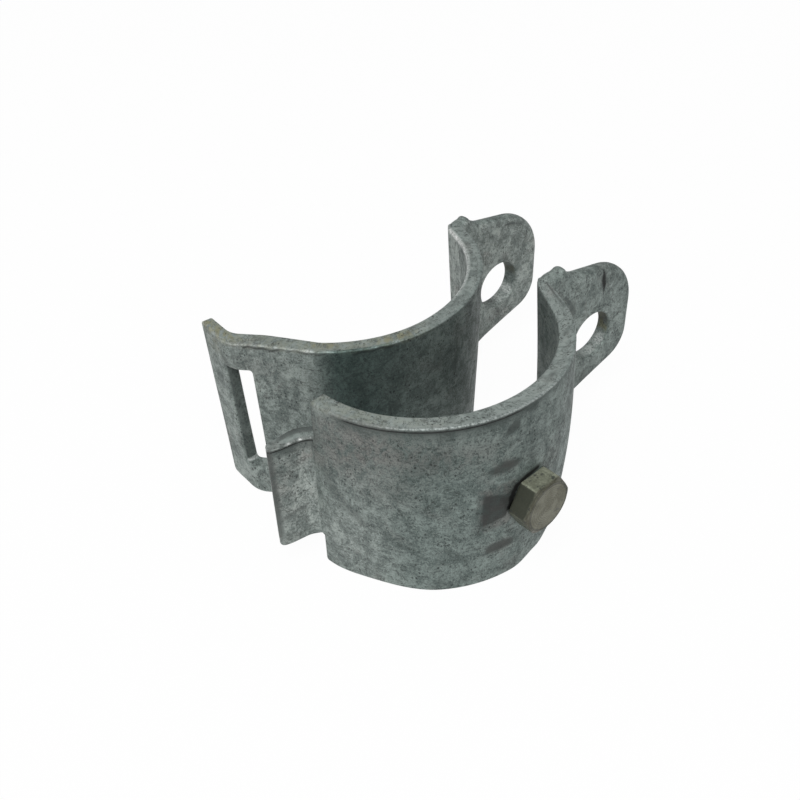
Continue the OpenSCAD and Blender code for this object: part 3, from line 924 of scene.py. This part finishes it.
def zinc_material(name, finish, offset):
    """Dull zinc: clouds, blotches, drawn streaks and grain between a dark and a light tone; pits and hair
    scratches; and with them the layers of the mesh for dirt and painted shadows, plum and olive tints,
    sheared rim with painted light, painted glints, and painted shade and light. All of it lies on the flat
    pattern, so it follows the bends."""
    n = Nodes(bpy.data.materials.new(name))
    flat = n.mapped(n.layer("flat", "Vector"), Scale=(1.2, 0.8, BAR_T), Location=(offset, 0, 0))
    drawn = n.mapped(flat, Rotation=(0, 0, math.radians(38)), Scale=(0.16, 0.9, 0.5))
    clouds = n.noise(flat, 0.075, 6, 0.62, 0.9)
    blotch = n.noise(flat, 0.3, 6, 0.68, 0.7)
    streak = n.noise(drawn, 1.0, 5, 0.65, 0.7)
    grain = n.noise(flat, 1.7, 4, 0.7)
    fine = n.noise(flat, 4.0, 2, 0.6)
    tone = n.mean((0.65, clouds), (1.0, blotch), (0.15, streak), (0.75, grain), (0.5, fine))
    colour = n.mix(n.ramp(tone, 0.42, 0.58), finish.zinc_dark, finish.zinc_light)

    # Tints: the rim's lighter zinc, partly painted light on its top, and its yellowed passivation; the plum
    # tint comes after the dirt
    colour = n.mix(n.times(n.layer("rim"), n.ramp(blotch, 0.35, 0.65, (0.35, 0.9))), colour, finish.rim)
    olive = n.times(n.layer("olive"), n.ramp(n.noise(flat, 0.5, 4, 0.6), 0.36, 0.58))
    colour = n.mix(olive, colour, finish.olive)
    plum = n.ramp(n.noise(flat, 0.11, 4, 0.6, 0.6), 0.53, 0.68, (0, 0.4))
    plum = n.most(plum, n.times(n.layer("plum"), n.ramp(blotch, 0.34, 0.56)))

    # Pits in some cells and some regions, smudges in the clouds' lighter part, hair lines on a noise's level
    cell = n.add("ShaderNodeTexVoronoi", {"Vector": flat, "Scale": 1.1})
    chance = n.add("ShaderNodeSeparateColor", {0: cell.outputs["Color"]})
    gate = n.ramp(n.noise(flat, 0.13, 3, 0.6), 0.46, 0.58)
    pits = n.times(n.ramp(n.plus(cell.outputs["Distance"], n.times(grain, 0.5)), 0.62, 0.46), gate)
    pits = n.times(pits, n.ramp(chance.outputs[0], 0.45, 0.6))
    smudge = n.times(n.ramp(n.noise(flat, 0.85, 4, 0.65, 0.5), 0.57, 0.65), n.ramp(clouds, 0.44, 0.54))
    pits = n.most(pits, n.times(smudge, 0.75))
    warp = n.noise(flat, 0.35, 5, 0.72, 1.6)
    hair = n.ramp(n.math("ABSOLUTE", n.math("SUBTRACT", warp, 0.5)), 0.022, 0.006)
    hair = n.times(hair, n.ramp(n.noise(drawn, 1.9, 2), 0.45, 0.52))
    # Dirt and painted shadows from the mesh layer, broken by the grain
    dirt = n.times(n.layer("dirt"), n.ramp(n.plus(grain, blotch), 0.7, 1.2, (0.65, 1.0)))
    marks = n.most(n.most(n.times(pits, 0.75), n.times(hair, 0.8)), dirt)
    colour = n.mix(marks, colour, finish.dirt)
    colour = n.mix(plum, colour, finish.plum, "MULTIPLY")
    # Painted shade: black where the dirt and the painted shadows are deepest, as in the gap round the screw
    # head
    colour = n.mix(n.ramp(n.layer("dirt"), 0.86, 0.98), colour, finish.deep_shade_and_grime)
    # Painted glints, bright and metallic
    bare = n.times(n.layer("bare"), n.ramp(grain, 0.38, 0.62, (0.15, 1)))
    colour = n.mix(bare, colour, finish.bare)

    # The painted shade and light are a gain of each channel, so the mottling stays
    gains = [n.math("MULTIPLY_ADD", n.layer("shade"), part - 1, 1.0) for part in finish.shade]
    gain = n.add("ShaderNodeCombineColor", enumerate(gains))
    colour = n.mix(1.0, colour, gain.outputs[0], "MULTIPLY")
    rough = n.plus(n.ramp(blotch, 0.3, 0.7, (0.66, 0.5)), n.times(marks, 0.15))
    rough = n.math("SUBTRACT", rough, n.times(bare, 0.22))
    height = n.plus(n.times(grain, 0.5), n.times(blotch, 0.6))
    height = n.math("SUBTRACT", height, n.times(marks, 0.5))
    return n.metal(colour, n.most(n.times(bare, 0.95), 0.4), rough, height, 0.55, 0.0002)


def screw_material(name, finish):
    """Olive plating with turned rings on the head's top, worn lighter in clouds, with dirt specks, and
    painted shade on some flats and on the head's chamfer and groove line.
    """
    n = Nodes(bpy.data.materials.new(name))
    place = n.add("ShaderNodeTexCoord").outputs["Object"]
    clouds = n.noise(place, 240, 5, 0.65, 0.8)
    grain = n.noise(place, 1500, 3, 0.65)
    colour = n.mix(n.ramp(n.mean((0.6, clouds), (0.4, grain)), 0.36, 0.64), finish.screw_dark, finish.screw)
    turned = n.times(n.layer("turned"), n.ramp(grain, 0.35, 0.65, (0.4, 1)))
    colour = n.mix(n.layer("face"), colour, finish.screw_face)
    colour = n.mix(n.times(turned, 0.6), colour, finish.screw_rings_and_flat_shade)
    # Painted shade on the flats
    colour = n.mix(n.layer("painted_flat_shade"), colour, finish.screw_rings_and_flat_shade)
    # Painted shade on the chamfer and the groove line
    colour = n.mix(n.times(n.layer("groove"), n.ramp(grain, 0.3, 0.6, (1, 0.7))), colour, finish.deep_shade_and_grime)
    specks = n.ramp(n.noise(place, 700, 3, 0.7), 0.59, 0.65)
    colour = n.mix(n.times(specks, 0.7), colour, finish.dirt)
    rough = n.ramp(clouds, 0.3, 0.7, (0.6, 0.42))
    return n.metal(colour, 0.35, rough, n.plus(grain, n.times(turned, 0.6)), 0.5, 0.0001)


# Settings


def length_property(name, description, default, least):
    """Property for a length in metres."""
    return FloatProperty(name=name, description=description, default=default, min=least, unit="LENGTH",
                         subtype="DISTANCE")


def colour_property(name, description, default):
    """Property for a linear colour."""
    return FloatVectorProperty(name=name, description=description, default=default, size=3, min=0, max=1,
                               subtype="COLOR")


class CollarShape(bpy.types.PropertyGroup):
    """Sizes of the dressed mesh."""

    step: length_property("Mesh step", "Distance between the rows of the pattern", 0.0005, 0.0003)
    arris: length_property("Arris", "Round of the bars' sheared edges", 0.00045, 0.0001)
    lug_arris: length_property("Lug arris", "Round of the lugs' edges", 0.0018, 0.0001)


class CollarFinish(bpy.types.PropertyGroup):
    """Colours of the zinc and of the screw."""

    zinc_light: colour_property("Light zinc", "Lighter tone of the mottled zinc", (0.295, 0.345, 0.322))
    zinc_dark: colour_property("Dark zinc", "Darker tone of the mottled zinc", (0.112, 0.139, 0.130))
    plum: colour_property("Plum", "Tint of the brownish purple clouds", (0.80, 0.70, 0.70))
    # Tint of the painted shade; where the shade layer is negative it paints light
    shade: colour_property("Shade", "Tint of the faces that stay dull", (0.36, 0.46, 0.45))
    olive: colour_property("Olive", "Yellowed passivation on the rims", (0.27, 0.275, 0.185))
    # Lighter zinc of the sheared edges, and painted light on the rim's top
    rim: colour_property("Sheared rim", "Lighter zinc of the sheared edges", (0.33, 0.375, 0.355))
    # Colour of pits, scratches and dirt, and of the painted shadows in the dirt layer
    dirt: colour_property("Dirt", "Pits, scratches and dirt", (0.035, 0.04, 0.038))
    # Black of the deepest cracks, and painted shade in the deepest gaps and on the screw's chamfer
    deep_shade_and_grime: colour_property("Grime", "Black of the deepest gaps and cracks", (0.006, 0.007, 0.006))
    # Colour of the painted glints and highlights
    bare: colour_property("Bare metal", "Bright rubbed spots", (0.78, 0.82, 0.80))
    screw: colour_property("Screw", "Olive tone of the screw's plating", (0.31, 0.33, 0.25))
    screw_dark: colour_property("Worn screw", "Darker tone of the screw's plating", (0.14, 0.15, 0.108))
    # Dark tone of the turned rings, and of the painted shade on the flats
    screw_rings_and_flat_shade: colour_property("Dull flats", "Tone of the screw's dark flats", (0.04, 0.044, 0.031))
    screw_face: colour_property("Screw face", "Brownish tone of the head's turned top", (0.12, 0.108, 0.072))


# Operators of the pieces


def dress(obj, material, node):
    """Gives a finished piece its material and hangs it on the frame in place of its CAD node."""
    obj.data.materials.append(material)
    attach(obj, "root")
    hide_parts(node)


def build_half(context, name, shape, layers, material, offset, node):
    """Builds one half from its shape at the set mesh step and rounds, with its layers and its zinc."""
    sizes = context.scene.collar_shape
    points, faces, coords = shape(sizes.step / MM, sizes.arris / MM, sizes.lug_arris / MM)
    obj = make_object(name, points, [faces], coords, **layers(coords))
    dress(obj, zinc_material(material, context.scene.collar_finish, offset), node)


class COLLAR_OT_tongue_half(bpy.types.Operator):
    """Build the front half, which carries the tongue"""

    bl_idname = "collar.tongue_half"
    bl_label = "Tongue half"

    def execute(self, context):
        build_half(context, "front_bar", tongue_half_shape, tongue_half_layers, "front zinc", 0.0,
                   "tongue_half")
        return {"FINISHED"}


class COLLAR_OT_slotted_half(bpy.types.Operator):
    """Build the rear half, which carries the slotted plate"""

    bl_idname = "collar.slotted_half"
    bl_label = "Slotted half"

    def execute(self, context):
        build_half(context, "rear_bar", slotted_half_shape, slotted_half_layers, "rear zinc", 300.0,
                   "slotted_half")
        return {"FINISHED"}


class COLLAR_OT_set_screw(bpy.types.Operator):
    """Build the hexagon-head set screw"""

    bl_idname = "collar.set_screw"
    bl_label = "Set screw"

    def execute(self, context):
        local, quads, caps = set_screw_shape()
        obj = make_object("hex_screw", place_screw(local), [quads, caps], **screw_layers(local))
        dress(obj, screw_material("screw plating", context.scene.collar_finish), "set_screw")
        return {"FINISHED"}


# Stage


# Camera, solved from the photograph's edges: bearing, height and roll in degrees, place in metres, and lens
# and sensor in millimetres
AZIMUTH = -38.5
ELEVATION = 39.9
ROLL = -2.33
CAMERA_PLACE = Vector((-0.12716, -0.18197, 0.19091))
LENS = 46.83
SENSOR = 36.0
# Key lamp's place and width in metres and its power in watts, half the floor's width, the part of the floor
# that glows where it is seen, and the world's strength as a light
KEY_PLACE = Vector((-0.35, -0.3, 0.85))
KEY_SIZE = 0.5
KEY_POWER = 6.5
FLOOR_HALF = 3.0
FLOOR_GLOW = 0.97
WORLD_LIGHT = 0.5


def build_floor(scene):
    """White floor that keeps the object's shadow: nearly all of what the camera and reflections see of it
    glows at 1, and the rest is lit."""
    mesh = bpy.data.meshes.new("floor")
    corners = [(x * FLOOR_HALF, y * FLOOR_HALF, 0) for x, y in ((-1, -1), (1, -1), (1, 1), (-1, 1))]
    mesh.from_pydata(corners, [], [(0, 1, 2, 3)])
    floor = bpy.data.objects.new("floor", mesh)
    scene.collection.objects.link(floor)
    n = Nodes(bpy.data.materials.new("floor white"))
    diffuse = n.add("ShaderNodeBsdfDiffuse", {"Color": (0.8, 0.8, 0.8, 1)}).outputs[0]
    glow = n.add("ShaderNodeEmission", {"Strength": 1.0}).outputs[0]
    path = n.add("ShaderNodeLightPath").outputs
    seen = n.most(n.most(path["Is Camera Ray"], path["Is Glossy Ray"]), path["Is Transmission Ray"])
    mix = n.add("ShaderNodeMixShader", {0: n.times(seen, FLOOR_GLOW), 1: diffuse, 2: glow})
    mesh.materials.append(n.surface(mix.outputs[0]))
    return floor


def build_world(scene):
    """Even white light, which the camera sees at strength 1."""
    n = Nodes(bpy.data.worlds.new("studio"))
    scene.world = n.owner
    seen = n.add("ShaderNodeLightPath").outputs["Is Camera Ray"]
    strength = n.math("MULTIPLY_ADD", seen, 1 - WORLD_LIGHT, WORLD_LIGHT)
    background = n.add("ShaderNodeBackground", {"Strength": strength})
    n.add("ShaderNodeOutputWorld", {"Surface": background.outputs[0]})


def build_key(scene):
    """One soft round lamp from the upper left, turned to the origin."""
    lamp = bpy.data.lights.new("soft key", "AREA")
    lamp.shape = "DISK"
    lamp.size = KEY_SIZE
    lamp.energy = KEY_POWER
    key = bpy.data.objects.new("soft key", lamp)
    turn = (-KEY_PLACE).to_track_quat("-Z", "Y").to_matrix().to_4x4()
    key.matrix_world = Matrix.Translation(KEY_PLACE) @ turn
    scene.collection.objects.link(key)


def camera_matrix():
    """The camera's place and turn: its own right and up, rolled about the view, and the view's reverse."""
    azimuth, elevation, roll = (math.radians(angle) for angle in (AZIMUTH, ELEVATION, ROLL))
    level = math.cos(elevation)
    view = Vector((-math.sin(azimuth) * level, math.cos(azimuth) * level, -math.sin(elevation)))
    right = Vector((math.cos(azimuth), math.sin(azimuth), 0))
    up = right.cross(view)
    x = math.cos(roll) * right + math.sin(roll) * up
    y = -math.sin(roll) * right + math.cos(roll) * up
    return Matrix.Translation(CAMERA_PLACE) @ Matrix((x, y, -view)).transposed().to_4x4()


def build_camera(scene):
    """The camera at the photograph's angle."""
    data = bpy.data.cameras.new("camera")
    data.lens = LENS
    data.sensor_width = SENSOR
    data.clip_start = 0.01
    camera = bpy.data.objects.new("camera", data)
    camera.matrix_world = camera_matrix()
    scene.collection.objects.link(camera)
    scene.camera = camera


class COLLAR_OT_stage(bpy.types.Operator):
    """Build the floor, the light and the camera"""

    bl_idname = "collar.stage"
    bl_label = "Stage"

    def execute(self, context):
        scene = context.scene
        scene.view_settings.view_transform = "Standard"
        floor = build_floor(scene)
        build_world(scene)
        build_key(scene)
        build_camera(scene)
        return {"FINISHED"}


# Panel and registration


class COLLAR_PT_panel(bpy.types.Panel):
    """Lists the collar's settings and operators"""

    bl_idname = "COLLAR_PT_panel"
    bl_label = "Fence Post Collar"
    bl_space_type = "VIEW_3D"
    bl_region_type = "UI"
    bl_category = "Collar"

    def draw(self, context):
        layout = self.layout
        for group in (context.scene.collar_shape, context.scene.collar_finish):
            for key in group.bl_rna.properties.keys():
                if key not in ("rna_type", "name"):
                    layout.prop(group, key)
        for operator in OPERATORS:
            layout.operator(operator.bl_idname)


OPERATORS = (COLLAR_OT_tongue_half, COLLAR_OT_slotted_half, COLLAR_OT_set_screw, COLLAR_OT_stage)
CLASSES = (CollarShape, CollarFinish, *OPERATORS, COLLAR_PT_panel)


def register():
    for cls in CLASSES:
        bpy.utils.register_class(cls)
    bpy.types.Scene.collar_shape = PointerProperty(type=CollarShape)
    bpy.types.Scene.collar_finish = PointerProperty(type=CollarFinish)


def unregister():
    del bpy.types.Scene.collar_finish
    del bpy.types.Scene.collar_shape
    for cls in reversed(CLASSES):
        bpy.utils.unregister_class(cls)


def main():
    register()
    bpy.ops.collar.tongue_half()
    bpy.ops.collar.slotted_half()
    bpy.ops.collar.set_screw()
    bpy.ops.collar.stage()


if __name__ == "__main__":
    main()
